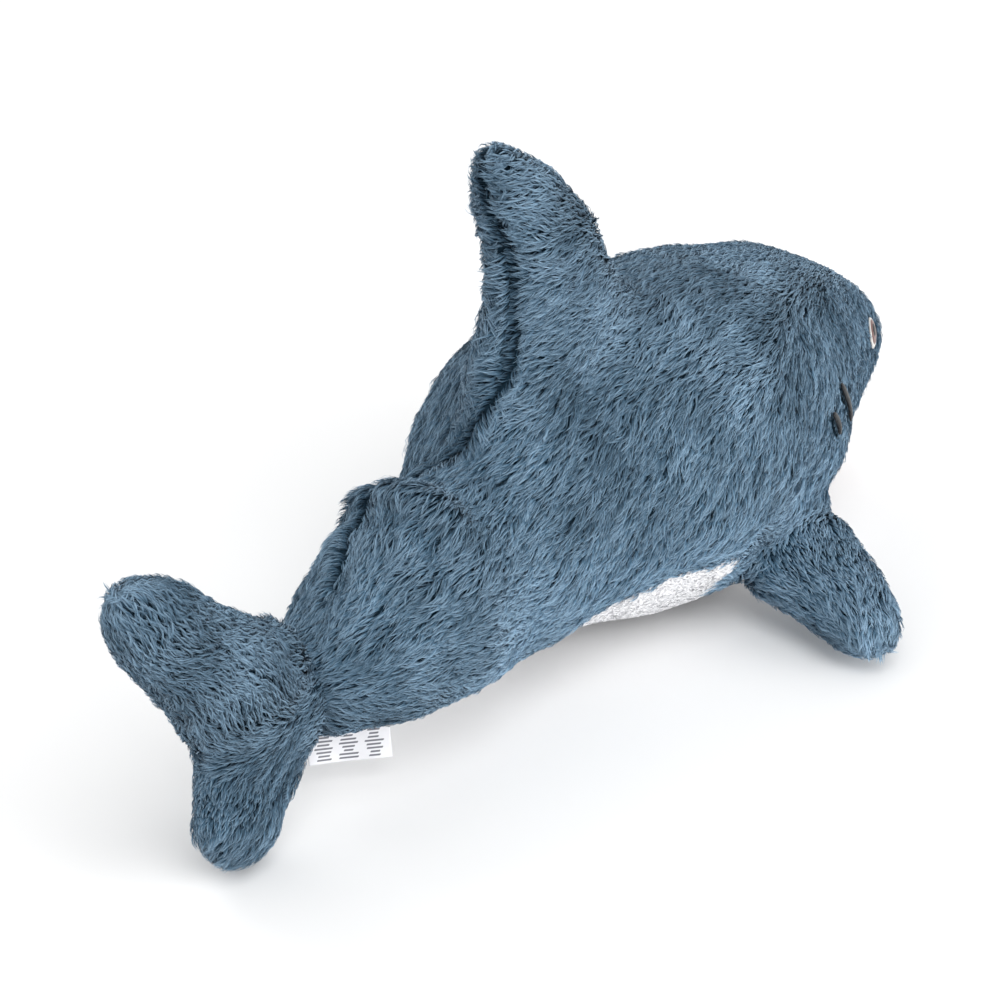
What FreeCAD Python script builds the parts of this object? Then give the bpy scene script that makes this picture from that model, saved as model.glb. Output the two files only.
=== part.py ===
import FreeCAD, Part
import math
import os

# Stuffed toy shark lying on its belly. Millimetres, +X to the nose, +Y to its left, +Z up.
# The origin is on the surface it lies on, under the middle of its length and width.

Vector = FreeCAD.Vector
X_AXIS = Vector(1, 0, 0)
Y_AXIS = Vector(0, 1, 0)
Z_AXIS = Vector(0, 0, 1)
FAR = 400.0

# Trunk, from the tail to the nose: x, top height, bottom height, half width, middle to the left.
TRUNK = [
    (-206, 92, 50, 15, 0),
    (-172, 92, 44, 20, 0),
    (-148, 96, 36, 28, 0),
    (-120, 111, 28, 38, 0),
    (-100, 121, 23, 43, 0),
    (-78, 129, 20, 48, -0.5),
    (-54, 126, 19, 47.5, -0.5),
    (-30, 139, 19, 53, 1),
    (0, 157, 14, 63, 5),
    (30, 162, 5, 74, 5),
    (62, 167, -2, 81, 1),
    (105, 168, -3, 80, 0),
    (158, 157, 3, 69, 0),
    (205, 138, 24, 51, 0),
    (240, 116, 35, 37, 0),
    (264, 96, 50, 22, 0),
    (275, 82, 67, 8, 0),
]
PANEL = 4.0            # plush backing with its pile pressed flat
FIT_GAP = 0.3          # between a panel and the stuffing behind it
RING_POINTS = 14
# Edge between the blue side panels and the white belly panel: x, height.
BELLY_EDGE = [(-215, 48), (-162, 44), (-120, 36), (-60, 33), (0, 42), (18, 51), (42, 56), (75, 56),
              (110, 50), (170, 50), (240, 60), (290, 70)]

# Bend behind the dorsal fin and bend at the tail fin: both turn about upright lines.
WAIST_X = -60.0
WAIST_R = 50.0
TAIL_X = -178.0
TAIL_R = 33.0
BEND_GAP = 0.6
SLIVER_SHARE = 0.05
STOCK_YAW = 2.0        # the tail lies turned a little to the toy's right
TAIL_YAW = 3.0

# Dorsal fin, upwards: height, trailing x, leading x, half thickness.
DORSAL = [
    (140, -30, 84, 17),
    (177, -30, 65, 18),
    (204, -26, 48, 17),
    (228, -28, 35, 16),
    (257, -34, 9, 13),
    (272, -35, -13, 8),
]
DORSAL_HINGE_REAR = Vector(-33, 0, 114)
DORSAL_HINGE_FRONT = Vector(82, 0, 130)
DORSAL_ROOT_R = 41.0
DORSAL_ROOT_X = 1.0       # rear end of the fin's round root, clear of the tail stock's bend
DORSAL_SWING = (-21, -14, -7, 0, 7, 14, 21)   # turns at which the fin stays clear of the back
WAIST_SWING = (-18, -9, 11, 22)               # turns of the tail stock that pass under the fin

# Pectoral fin on the right, outwards from its root: share of the span, half chord, half thickness.
PECTORAL = [(0.0, 35, 12.5), (0.25, 33, 13), (0.55, 27, 13.5), (0.8, 22, 12.5), (1.0, 13, 8)]
PECTORAL_REAR = Vector(92, -57, 30)
PECTORAL_FRONT = Vector(152, -57, 46)
PECTORAL_TIP = Vector(97, -143, 17.5)
PECTORAL_ROOT_R = 21.0
PECTORAL_TIP_TURN = 6.0
PECTORAL_SWING = (-9, 0, 10, 20, 29.5)   # turns at which the fin stays clear of the trunk
SWING_GAP = 0.8

# Tail fin lobes from the middle of the fin: share of the length, half chord, half thickness.
LOBE_START = Vector(-188, 0, 74)
UPPER_TIP = Vector(-267, 0, 169)
LOWER_TIP = Vector(-212, 0, 8)
UPPER = [(0.0, 39, 21), (0.25, 31, 20), (0.5, 24, 18), (0.75, 21, 16), (1.0, 13, 9)]
LOWER = [(0.0, 39, 21), (0.4, 31, 19), (0.75, 26, 16), (1.0, 16, 9)]

# Embroidered eyes and gill lines, on the sides of the head.
EYE_X = 230.0
EYE_Z = 88.0
EYE_LAYERS = [("eye_white", 8.0), ("eye_iris", 5.6), ("eye_pupil", 2.9)]
EYE_LAYER = 0.7
STITCH_GAP = 0.15      # between sewn layers and the cloth under them
GILLS = [((154, 105), (166, 79)), ((139, 98), (145, 84))]
GILL_WIDTH = 3.4
GILL_HEIGHT = 1.4

# Mouth under the snout: a felt lining and a zigzag strip of felt teeth along its front edge.
MOUTH_CENTRE_X = 214.0
MOUTH_FRONT = 38.0
MOUTH_BACK = 20.0
MOUTH_HALF_WIDTH = 30.0
MOUTH_LAYER = 0.9
TEETH = 10
TOOTH_LENGTH = 8.0

# Care label of satin ribbon, sewn in under the tail stock: flat size, middle of its seam,
# direction along the seam and the way it hangs.
LABEL_LONG = 40.0
LABEL_OUT = 17.0
LABEL_THICK = 0.8
LABEL_SEAM = Vector(-130, 0, 29.2)
LABEL_ALONG = Vector(0.85, -0.5, -0.15)
LABEL_HANG = Vector(-0.3, -0.4, -0.85)


def ring(centre, along_a, along_b, half_a, half_b):
    """Closed smooth oval in the plane of two unit vectors."""
    points = []
    for k in range(RING_POINTS):
        t = 2 * math.pi * k / RING_POINTS
        points.append(centre + along_a * (half_a * math.cos(t)) + along_b * (half_b * math.sin(t)))
    curve = Part.BSplineCurve()
    curve.interpolate(points, PeriodicFlag=True)
    return Part.Wire([curve.toShape()])


def loft(rings):
    return Part.makeLoft(rings, True, False, False)


def trunk(grow):
    """Whole trunk from tail root to nose, its surface moved out by grow."""
    rings = []
    for x, top, bottom, half_width, middle in TRUNK:
        end = grow if x == TRUNK[-1][0] else 0.0
        half_height = max((top - bottom) / 2 + grow, 2.5)
        centre = Vector(x + end, middle, (top + bottom) / 2)
        rings.append(ring(centre, Y_AXIS, Z_AXIS, max(half_width + grow, 2.5), half_height))
    return loft(rings)


def box(x0, x1, y0, y1, z0, z1):
    return Part.makeBox(x1 - x0, y1 - y0, z1 - z0, Vector(x0, y0, z0))


def upright(x, radius):
    return Part.makeCylinder(radius, 2 * FAR, Vector(x, 0, -FAR), Z_AXIS)


def left_half():
    return box(-FAR, FAR, 0, FAR, -FAR, FAR)


def right_half():
    return box(-FAR, FAR, -FAR, 0, -FAR, FAR)


def below_belly_edge():
    """Block holding everything under the belly panel's edge."""
    curve = Part.BSplineCurve()
    curve.interpolate([Vector(x, -FAR, z) for x, z in BELLY_EDGE])
    first = Vector(BELLY_EDGE[0][0], -FAR, BELLY_EDGE[0][1])
    last = Vector(BELLY_EDGE[-1][0], -FAR, BELLY_EDGE[-1][1])
    low_last = Vector(last.x, -FAR, -FAR)
    low_first = Vector(first.x, -FAR, -FAR)
    outline = Part.Wire([
        curve.toShape(),
        Part.makeLine(last, low_last),
        Part.makeLine(low_last, low_first),
        Part.makeLine(low_first, first),
    ])
    return Part.Face(outline).extrude(Vector(0, 2 * FAR, 0))


def dorsal_loft(shrink):
    rings = []
    for z, rear, front, half_thick in DORSAL:
        drop = shrink if z == DORSAL[-1][0] else 0.0
        centre = Vector((rear + front) / 2, 0, z - drop)
        half_chord = (front - rear) / 2 - shrink
        rings.append(ring(centre, X_AXIS, Y_AXIS, half_chord, half_thick - shrink))
    return loft(rings)


def swept(shape, pivot, axis, turns):
    """Copies of a shape turned about a hinge line."""
    copies = []
    for degrees in turns:
        turned = shape.copy()
        turned.rotate(pivot, axis, degrees)
        copies.append(turned)
    return copies


def cut_in_turn(shape, tools):
    for tool in tools:
        shape = shape.cut(tool)
    return shape


def dorsal_root(extra):
    """Round root of the dorsal fin, which turns in the back like a rod in a socket."""
    whole = DORSAL_HINGE_FRONT - DORSAL_HINGE_REAR
    rear = DORSAL_HINGE_REAR + whole * ((DORSAL_ROOT_X - DORSAL_HINGE_REAR.x) / whole.x)
    line = DORSAL_HINGE_FRONT - rear
    start = rear - Vector(line).normalize() * extra
    return Part.makeCylinder(DORSAL_ROOT_R + extra, line.Length + 2 * extra, start, line)


def pectoral_axes():
    """Root centre, unit chord at the root, unit chord at the tip and unit thickness direction."""
    root = (PECTORAL_REAR + PECTORAL_FRONT) * 0.5
    chord = (PECTORAL_FRONT - PECTORAL_REAR).normalize()
    span = PECTORAL_TIP - root
    thick = chord.cross(span).normalize()
    tip_chord = FreeCAD.Rotation(span, PECTORAL_TIP_TURN).multVec(X_AXIS)
    tip_chord = (tip_chord - thick * tip_chord.dot(thick)).normalize()
    return root, chord, tip_chord, thick


def pectoral_loft(shrink):
    root, chord, tip_chord, thick = pectoral_axes()
    rings = []
    for share, half_chord, half_thick in PECTORAL:
        near = shrink / (PECTORAL_TIP - root).Length if share == 1.0 else 0.0
        centre = root + (PECTORAL_TIP - root) * (share - near)
        along = (chord * (1 - share) + tip_chord * share).normalize()
        rings.append(ring(centre, along, thick, half_chord - shrink, half_thick - shrink))
    return loft(rings)


def pectoral_root(extra):
    """Round root of the right pectoral fin, along its chord."""
    chord = PECTORAL_FRONT - PECTORAL_REAR
    start = PECTORAL_REAR - Vector(chord).normalize() * extra
    return Part.makeCylinder(PECTORAL_ROOT_R + extra, chord.Length + 2 * extra, start, chord)


def mirrored(shape):
    return shape.mirror(Vector(0, 0, 0), Y_AXIS)


def lobe(tip, sections, shrink):
    axis = tip - LOBE_START
    across = Y_AXIS.cross(axis).normalize()
    rings = []
    for share, half_chord, half_thick in sections:
        near = shrink / axis.Length if share == 1.0 else 0.0
        centre = LOBE_START + axis * (share - near)
        rings.append(ring(centre, across, Y_AXIS, half_chord - shrink, half_thick - shrink))
    return loft(rings)


def tail_block(whole, shrink):
    """Both lobes and the part of the trunk that turns with them."""
    root = whole.common(upright(TAIL_X, TAIL_R).fuse(box(-FAR, TAIL_X, -FAR, FAR, -FAR, FAR)))
    return root.fuse([lobe(UPPER_TIP, UPPER, shrink), lobe(LOWER_TIP, LOWER, shrink)])


def stock_space(gap):
    """The space of the tail stock, from the waist bend back to the tail fin's bend."""
    front = upright(WAIST_X, WAIST_R).fuse(box(-FAR, WAIST_X, -FAR, FAR, -FAR, FAR))
    rear = upright(TAIL_X, TAIL_R + gap).fuse(box(-FAR, TAIL_X, -FAR, FAR, -FAR, FAR))
    return front.cut(rear)


def torso_cuts():
    """Everything taken out of the torso for the pieces that move against it."""
    gap = BEND_GAP
    waist = upright(WAIST_X, WAIST_R + gap).fuse(box(-FAR, WAIST_X, -FAR, FAR, -FAR, FAR))
    floor = box(-FAR, FAR, -FAR, FAR, -FAR, 0)
    fin = pectoral_root(gap)
    return [waist, floor, dorsal_root(gap), fin, mirrored(fin)]


def save(node, shape):
    """Write one sub-part without the slivers that a cut can leave."""
    largest = max(s.Volume for s in shape.Solids)
    solids = [s for s in shape.Solids if s.Volume > SLIVER_SHARE * largest]
    result = solids[0] if len(solids) == 1 else Part.Compound(solids)
    if not result.isValid():
        result.fix(0.01, 0.01, 0.01)
    result.exportStep("parts/" + node + ".step")
    b = result.BoundBox
    print(node, len(solids), round(result.Volume / 1000.0, 1), result.isValid(),
          [round(v) for v in (b.XMin, b.XMax, b.YMin, b.YMax, b.ZMin, b.ZMax)])


def make_torso(outer, inner):
    cuts = torso_cuts()
    below = below_belly_edge()
    shell = outer.cut(cuts).cut(inner)
    upper = shell.cut(below)
    save("side_panel_left", upper.common(left_half()))
    save("side_panel_right", upper.common(right_half()))
    save("belly_panel", shell.common(below))
    save("body_stuffing", trunk(-PANEL - FIT_GAP).cut(cuts).cut(box(-FAR, FAR, -FAR, FAR, -FAR, PANEL)))


def stock_turn(shape):
    shape.rotate(Vector(WAIST_X, 0, 0), Z_AXIS, STOCK_YAW)
    return shape


def tail_turn(shape):
    shape.rotate(Vector(TAIL_X, 0, 0), Z_AXIS, TAIL_YAW)
    return stock_turn(shape)


def make_stock(outer, inner):
    space = stock_space(BEND_GAP)
    below = below_belly_edge()
    shell = outer.common(space).cut(inner)
    upper = shell.cut(below)
    save("stock_panel_left", stock_turn(upper.common(left_half())))
    save("stock_panel_right", stock_turn(upper.common(right_half())))
    save("stock_belly_panel", stock_turn(shell.common(below)))
    save("stock_stuffing", stock_turn(trunk(-PANEL - FIT_GAP).common(space)))


def make_tail_fin(outer, inner):
    block = tail_block(outer, 0.0)
    shell = block.cut(tail_block(inner, PANEL))
    save("tail_fin_panel_left", tail_turn(shell.common(left_half())))
    save("tail_fin_panel_right", tail_turn(shell.common(right_half())))
    core = tail_block(trunk(-PANEL - FIT_GAP), PANEL + FIT_GAP)
    save("tail_fin_stuffing", tail_turn(core))


def make_dorsal_fin():
    wide = trunk(2 * SWING_GAP)
    back = swept(wide, DORSAL_HINGE_REAR, DORSAL_HINGE_FRONT - DORSAL_HINGE_REAR, DORSAL_SWING)
    bend = wide.common(upright(WAIST_X, WAIST_R + 1))
    back += swept(bend, Vector(WAIST_X, 0, 0), Z_AXIS, WAIST_SWING)
    shell = cut_in_turn(dorsal_loft(0.0).cut(dorsal_loft(PANEL)), back).cut(dorsal_root(FIT_GAP))
    save("dorsal_panel_left", shell.common(left_half()))
    save("dorsal_panel_right", shell.common(right_half()))
    core = cut_in_turn(dorsal_loft(PANEL + FIT_GAP), back).fuse(dorsal_root(0.0))
    save("dorsal_stuffing", core)


def make_pectoral_fins():
    root, chord, tip_chord, thick = pectoral_axes()
    flank = swept(trunk(SWING_GAP), PECTORAL_REAR, chord, PECTORAL_SWING)
    shell = pectoral_loft(0.0).cut(pectoral_loft(PANEL)).cut(flank).cut(pectoral_root(FIT_GAP))
    # The thickness direction points down on this side, so the top panel is on its far side.
    down = thick if thick.z < 0 else thick * -1
    half = Part.makeBox(2 * FAR, 2 * FAR, FAR, Vector(-FAR, -FAR, 0))
    turn = FreeCAD.Rotation(Z_AXIS, down)
    half.Placement = FreeCAD.Placement(root, turn).multiply(half.Placement)
    core = pectoral_loft(PANEL + FIT_GAP).cut(flank).fuse(pectoral_root(0.0))
    pieces = {
        "pectoral_top": shell.cut(half),
        "pectoral_bottom": shell.common(half),
        "pectoral_stuffing": core,
    }
    for name, shape in pieces.items():
        save(name + "_right", shape)
        save(name + "_left", mirrored(shape))


def on_side(outline_solid, low, high):
    """Thin layer on a side of the head, between two heights over its surface."""
    return trunk(high).cut(trunk(low)).common(outline_solid)


def make_eyes():
    low = STITCH_GAP
    for name, radius in EYE_LAYERS:
        rod = Part.makeCylinder(radius, FAR, Vector(EYE_X, 0, EYE_Z), Y_AXIS * -1)
        disc = on_side(rod, low, low + EYE_LAYER)
        save(name + "_right", disc)
        save(name + "_left", mirrored(disc))
        low += EYE_LAYER + STITCH_GAP


def slot(start, end, width):
    """Straight stitched line on the side, round at both ends, as a block along -Y."""
    a = Vector(start[0], 0, start[1])
    b = Vector(end[0], 0, end[1])
    along = (b - a).normalize()
    side = Y_AXIS.cross(along) * (width / 2)
    wire = Part.Wire([
        Part.makeLine(a + side, b + side),
        Part.Arc(b + side, b + along * (width / 2), b - side).toShape(),
        Part.makeLine(b - side, a - side),
        Part.Arc(a - side, a - along * (width / 2), a + side).toShape(),
    ])
    return Part.Face(wire).extrude(Vector(0, -FAR, 0))


def make_gills():
    blocks = [slot(start, end, GILL_WIDTH) for start, end in GILLS]
    for label, blocks in (("right", blocks), ("left", [mirrored(block) for block in blocks])):
        lines = [on_side(block, STITCH_GAP, GILL_HEIGHT) for block in blocks]
        save("gill_stitches_" + label, Part.Compound(lines))


def mouth_arc(front, count):
    """Points of half an oval, from its left end round the front to its right end."""
    points = []
    for k in range(count + 1):
        t = math.pi * k / count
        points.append(Vector(MOUTH_CENTRE_X + front * math.sin(t), MOUTH_HALF_WIDTH * math.cos(t), 0))
    return points


def under_snout(points, low, high):
    face = Part.Face(Part.makePolygon(points + [points[0]]))
    block = face.extrude(Vector(0, 0, 60))
    return trunk(high).cut(trunk(low)).common(block)


def make_mouth():
    steps = 12
    crescent = mouth_arc(MOUTH_FRONT, steps) + mouth_arc(MOUTH_BACK, steps)[-2:0:-1]
    save("mouth_lining", under_snout(crescent, STITCH_GAP, MOUTH_LAYER))
    outer = mouth_arc(MOUTH_FRONT, 2 * TEETH)
    inner = mouth_arc(MOUTH_FRONT - TOOTH_LENGTH, 2 * TEETH)
    middle = mouth_arc(MOUTH_FRONT - 0.35 * TOOTH_LENGTH, 2 * TEETH)
    zigzag = [inner[k] if k % 2 else middle[k] for k in range(1, 2 * TEETH)]
    strip = outer + zigzag[::-1]
    save("teeth_strip", under_snout(strip, MOUTH_LAYER + STITCH_GAP, 2 * MOUTH_LAYER))


def make_label():
    along = Vector(LABEL_ALONG).normalize()
    thick = along.cross(LABEL_HANG).normalize()
    out = thick.cross(along)
    half = along * (LABEL_LONG / 2)
    low = out * LABEL_OUT
    corners = [LABEL_SEAM - half, LABEL_SEAM + half, LABEL_SEAM + half + low, LABEL_SEAM - half + low]
    leaf = Part.Face(Part.makePolygon(corners + [corners[0]])).extrude(thick * LABEL_THICK)
    save("care_label", stock_turn(leaf))


os.makedirs("parts", exist_ok=True)
outer_trunk = trunk(0.0)
inner_trunk = trunk(-PANEL)
make_torso(outer_trunk, inner_trunk)
make_stock(outer_trunk, inner_trunk)
make_tail_fin(outer_trunk, inner_trunk)
make_dorsal_fin()
make_pectoral_fins()
make_eyes()
make_gills()
make_mouth()
make_label()
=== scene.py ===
import math

import bpy
import numpy as np
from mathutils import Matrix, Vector
from mathutils.bvhtree import BVHTree


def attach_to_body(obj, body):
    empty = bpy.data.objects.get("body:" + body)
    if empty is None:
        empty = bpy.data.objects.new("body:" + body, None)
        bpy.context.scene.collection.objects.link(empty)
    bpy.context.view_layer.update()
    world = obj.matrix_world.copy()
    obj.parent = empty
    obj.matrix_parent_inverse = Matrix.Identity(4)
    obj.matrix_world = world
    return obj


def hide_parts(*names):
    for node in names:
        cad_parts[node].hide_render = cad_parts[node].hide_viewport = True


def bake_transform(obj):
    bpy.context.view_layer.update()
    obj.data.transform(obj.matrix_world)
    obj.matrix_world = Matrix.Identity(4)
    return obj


# Stuffed toy shark with long blue-grey pile, lying on its belly on a pale floor. Metres, +X to the nose,
# +Y to the toy's left, +Z up. Sizes below are millimetres and are turned into metres where they are used.

MM = 0.001
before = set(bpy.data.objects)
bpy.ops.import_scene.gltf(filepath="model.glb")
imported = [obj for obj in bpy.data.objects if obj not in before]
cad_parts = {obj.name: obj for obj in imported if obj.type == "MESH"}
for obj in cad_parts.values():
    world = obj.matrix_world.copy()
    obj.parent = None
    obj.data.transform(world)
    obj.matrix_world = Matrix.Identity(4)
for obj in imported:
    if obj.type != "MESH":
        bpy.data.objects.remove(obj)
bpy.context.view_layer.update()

# ------------------------------------------------------------------ camera, floor, light
CAMERA_AZIMUTH = -51.0
CAMERA_ELEVATION = 31.0
CAMERA_DISTANCE = 1.39
CAMERA_TARGET = (-0.0196, 0.0, 0.0954)
CAMERA_LENS = 109.7


def add_camera():
    data = bpy.data.cameras.new("Camera")
    data.lens = CAMERA_LENS
    data.sensor_width = 36.0
    camera = bpy.data.objects.new("Camera", data)
    bpy.context.scene.collection.objects.link(camera)
    a = math.radians(CAMERA_AZIMUTH)
    e = math.radians(CAMERA_ELEVATION)
    back = Vector((math.sin(a) * math.cos(e), -math.cos(a) * math.cos(e), math.sin(e)))
    camera.location = Vector(CAMERA_TARGET) + back * CAMERA_DISTANCE
    camera.rotation_euler = back.to_track_quat("Z", "Y").to_euler()
    bpy.context.scene.camera = camera


def add_light(name, place, size, power, tint=(1.0, 1.0, 1.0)):
    data = bpy.data.lights.new(name, "AREA")
    data.shape = "DISK"
    data.size = size
    data.energy = power
    data.color = tint
    light = bpy.data.objects.new(name, data)
    bpy.context.scene.collection.objects.link(light)
    light.location = place
    light.rotation_euler = Vector(place).to_track_quat("Z", "Y").to_euler()


def add_stage():
    half = 4.0
    mesh = bpy.data.meshes.new("Floor")
    mesh.from_pydata([(-half, -half, 0), (half, -half, 0), (half, half, 0), (-half, half, 0)], [],
                     [(0, 1, 2, 3)])
    floor = bpy.data.objects.new("Floor", mesh)
    bpy.context.scene.collection.objects.link(floor)
    material = bpy.data.materials.new("floor_pale")
    material.use_nodes = True
    shader = material.node_tree.nodes["Principled BSDF"]
    shader.inputs["Base Color"].default_value = (0.93, 0.93, 0.93, 1)
    shader.inputs["Roughness"].default_value = 0.9
    shader.inputs["Specular IOR Level"].default_value = 0.1
    mesh.materials.append(material)
    world = bpy.data.worlds.new("Studio")
    bpy.context.scene.world = world
    world.use_nodes = True
    background = world.node_tree.nodes["Background"]
    background.inputs["Color"].default_value = (1.0, 1.0, 1.0, 1)
    background.inputs["Strength"].default_value = 0.75
    bpy.context.scene.view_settings.view_transform = "Standard"
    add_light("Key", (-0.7, -1.1, 2.0), 1.6, 22.0)
    add_light("Fill", (0.6, -1.8, 0.40), 1.6, 24.0)
    add_light("Back", (0.3, 1.8, 1.6), 1.6, 12.0)


# ------------------------------------------------------------------ forms
# Trunk, from the tail to the nose: x, top height, bottom height, half width.
TRUNK = [
    (-206, 92, 50, 15), (-170, 91, 44, 20), (-148, 96, 36, 28), (-135, 101, 32, 32), (-120, 111, 28, 38),
    (-100, 121, 23, 43), (-78, 129, 20, 48), (-60, 125, 19, 47), (-45, 128, 20, 48), (-30, 139, 19, 53),
    (0, 157, 14, 63), (30, 162, 6, 74), (60, 167, 0, 81), (105, 168, -1, 80), (158, 157, 4, 69),
    (205, 138, 24, 51), (240, 116, 35, 37), (264, 96, 50, 22), (275, 82, 68, 3),
]
# Sideways place of the trunk's middle: x, how far it lies to the left.
TRUNK_SHIFT = [(-206, 0), (-60, -1), (-30, 1), (0, 6), (30, 5), (70, 0), (276, 0)]
# Edge of the belly panel: x, height.
BELLY_EDGE = [
    (-215, 48), (-162, 44), (-120, 36), (-60, 33), (0, 39), (18, 47), (42, 51), (75, 50), (110, 43),
    (170, 43), (240, 58), (290, 70),
]
# Seam along the back: x, how far it lies to the left.
BACK_SEAM = [
    (-206, 0), (-150, 1), (-122, 8), (-110, 14), (-97, 20), (-80, 22), (-60, 19), (-46, 13), (-38, 4),
    (-30, -5), (-22, -8), (20, -3), (60, 0), (280, 0),
]
WAIST_X = -60.0
TAIL_X = -178.0
STOCK_YAW = 2.0
TAIL_YAW = 3.0
# Dorsal fin, upwards: height, trailing x, leading x, half thickness.
DORSAL = [
    (120, -44, 112, 30), (145, -38, 100, 29), (162, -33, 82, 25), (180, -30, 64, 21),
    (204, -26, 48, 19), (228, -28, 35, 18), (252, -34, 14, 16), (276, -38, -9, 14),
]
DORSAL_HINGE_REAR = np.array([-33.0, 0.0, 114.0])
DORSAL_HINGE_FRONT = np.array([82.0, 0.0, 130.0])
# Pectoral fin on the right, outwards: share of the span, half chord, half thickness.
PECTORAL = [(-0.15, 36, 17), (0.0, 35, 17), (0.25, 33, 16), (0.55, 27, 15), (0.8, 22, 14), (1.02, 18, 12)]
PECTORAL_REAR = np.array([92.0, -57.0, 30.0])
PECTORAL_FRONT = np.array([152.0, -57.0, 46.0])
PECTORAL_TIP = np.array([97.0, -143.0, 17.5])
# Tail fin lobes: share of the length, half chord, half thickness.
LOBE_START = np.array([-188.0, 0.0, 74.0])
UPPER_TIP = np.array([-267.0, 0.0, 169.0])
LOWER_TIP = np.array([-212.0, 0.0, 8.0])
UPPER = [(0.0, 39, 22), (0.25, 31, 21), (0.5, 24, 19), (0.75, 21, 18), (1.03, 18, 15)]
LOWER = [(0.0, 39, 22), (0.4, 31, 19), (0.75, 27, 17), (1.03, 24, 15)]
PILE_RISE = 3.0        # how far the pile stands over the backing cloth
VOXEL = 2.4            # size of the backing's faces
STRANDS_PER_PIECE = 30000
RIBBON_POINTS = 7
BLUE_LONG = 9.4        # length of the blue pile
WHITE_LONG = 2.6       # length of the white pile
SPLIT_X = -162.0       # crease at the root of the tail fin
BELLY_FLOOR = 1.0      # lowest the backing reaches
PILE_FLOOR = 0.2       # lowest the pile reaches
# Dents in the filling: place, width, depth.
DENTS = [((88, -50, 152), 13, 3.0), ((22, -60, 126), 20, 1.8), ((-34, -44, 92), 24, 2.5)]
# Patches of painted shade where the pile swirls: place, width.
SWIRL_SHADE_PATCHES = [((-236, -14, 132), 20), ((14, -14, 232), 16)]

# Trimmed places: eyes and gill lines as x, z on the sides of the head; mouth as an arc under the snout.
EYE = (236.0, 87.0)
EYE_RADII = (7.2, 5.8, 3.0)
EYE_LOOK = 2.4         # how far the eyes look up and back
GILLS = [((154, 105), (166, 79)), ((139, 98), (145, 84))]
GILL_WIDTH = 3.0
EYE_STAND = 2.4
EYE_LAYER = 0.7
GILL_STAND = 2.6
MOUTH_X = 214.0
MOUTH_FRONT = 38.0
MOUTH_BACK = 20.0
MOUTH_HALF = 30.0
TOOTH_LONG = 8
TEETH = 10

# Care label of satin ribbon, sewn in under the tail stock.
LABEL_LONG = 40.0
LABEL_OUT = 17.0
LABEL_SEAM = np.array([-130.0, 0.0, 33.0])
LABEL_ALONG = np.array([0.85, -0.5, -0.15])
LABEL_HANG = np.array([-0.3, -0.4, -0.85])

X_DIR = np.array([1.0, 0.0, 0.0])
Y_DIR = np.array([0.0, 1.0, 0.0])
Z_DIR = np.array([0.0, 0.0, 1.0])


def unit(v):
    v = np.asarray(v, float)
    return v / np.maximum(np.linalg.norm(v, axis=-1, keepdims=True), 1e-12)


def smoothstep(low, high, x):
    t = np.clip((x - low) / (high - low), 0.0, 1.0)
    return t * t * (3.0 - 2.0 * t)


def curve_through(table, s):
    """Smooth values of a table's columns at the places s of its first column."""
    t = np.array(table, float)
    x = t[:, 0]
    y = t[:, 1:]
    step = np.diff(x)
    slope = np.diff(y, axis=0) / step[:, None]
    tangent = np.zeros_like(y)
    weighted = slope[:-1] * step[1:, None] + slope[1:] * step[:-1, None]
    tangent[1:-1] = weighted / (step[1:] + step[:-1])[:, None]
    tangent[0] = slope[0]
    tangent[-1] = slope[-1]
    s = np.clip(np.asarray(s, float), x[0], x[-1])
    k = np.clip(np.searchsorted(x, s, side="right") - 1, 0, len(step) - 1)
    h = step[k][:, None]
    u = ((s - x[k]) / step[k])[:, None]
    h00 = 2 * u**3 - 3 * u**2 + 1
    h10 = u**3 - 2 * u**2 + u
    h01 = -2 * u**3 + 3 * u**2
    h11 = u**3 - u**2
    return h00 * y[k] + h10 * h * tangent[k] + h01 * y[k + 1] + h11 * h * tangent[k + 1]


def ovals(centres, along_a, along_b, half_a, half_b, count=56, power=2.0):
    """Stack of closed ovals, one per centre."""
    t = np.linspace(0, 2 * np.pi, count, endpoint=False)
    ca = np.sign(np.cos(t)) * np.abs(np.cos(t)) ** (2 / power)
    sb = np.sign(np.sin(t)) * np.abs(np.sin(t)) ** (2 / power)
    a = np.broadcast_to(along_a, centres.shape)
    b = np.broadcast_to(along_b, centres.shape)
    return (centres[:, None, :] + a[:, None, :] * (half_a[:, None] * ca[None, :])[:, :, None]
            + b[:, None, :] * (half_b[:, None] * sb[None, :])[:, :, None])


def tube(rings):
    """Vertices and faces of a closed tube through the rings, capped at both ends."""
    n, k = rings.shape[:2]
    verts = rings.reshape(-1, 3)
    faces = []
    for i in range(n - 1):
        for j in range(k):
            j2 = (j + 1) % k
            faces.append((i * k + j, i * k + j2, (i + 1) * k + j2, (i + 1) * k + j))
    faces.append(tuple(range(k - 1, -1, -1)))
    faces.append(tuple((n - 1) * k + j for j in range(k)))
    return verts, faces


def rounded(share, start, end, power=2.4):
    """Scale that closes a fin's end in a round tip between two shares of its length."""
    u = np.clip((share - start) / (end - start), 0, 1)
    return np.maximum(1 - u**power, 0.0) ** (1 / power)


def turn_about(points, pivot, axis, degrees):
    """Points turned about a line; degrees is one number or one per point."""
    a = np.radians(np.broadcast_to(degrees, points.shape[:1]))[:, None]
    k = unit(axis)
    p = points - pivot
    return (pivot + p * np.cos(a) + np.cross(np.broadcast_to(k, p.shape), p) * np.sin(a)
            + k * (p @ k)[:, None] * (1 - np.cos(a)))


def trunk_form():
    u = np.linspace(0, 1, 130)
    x = TRUNK[0][0] + (TRUNK[-1][0] - TRUNK[0][0]) * (1 - (1 - u) ** 1.35)
    top, bottom, half = curve_through(TRUNK, x).T
    aside = curve_through(TRUNK_SHIFT, x)[:, 0]
    centres = np.stack([x, aside, (top + bottom) / 2], 1)
    tall = np.maximum((top - bottom) / 2, 1.5)
    return tube(ovals(centres, Y_DIR, Z_DIR, np.maximum(half, 1.5), tall, 72, 2.05))


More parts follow.
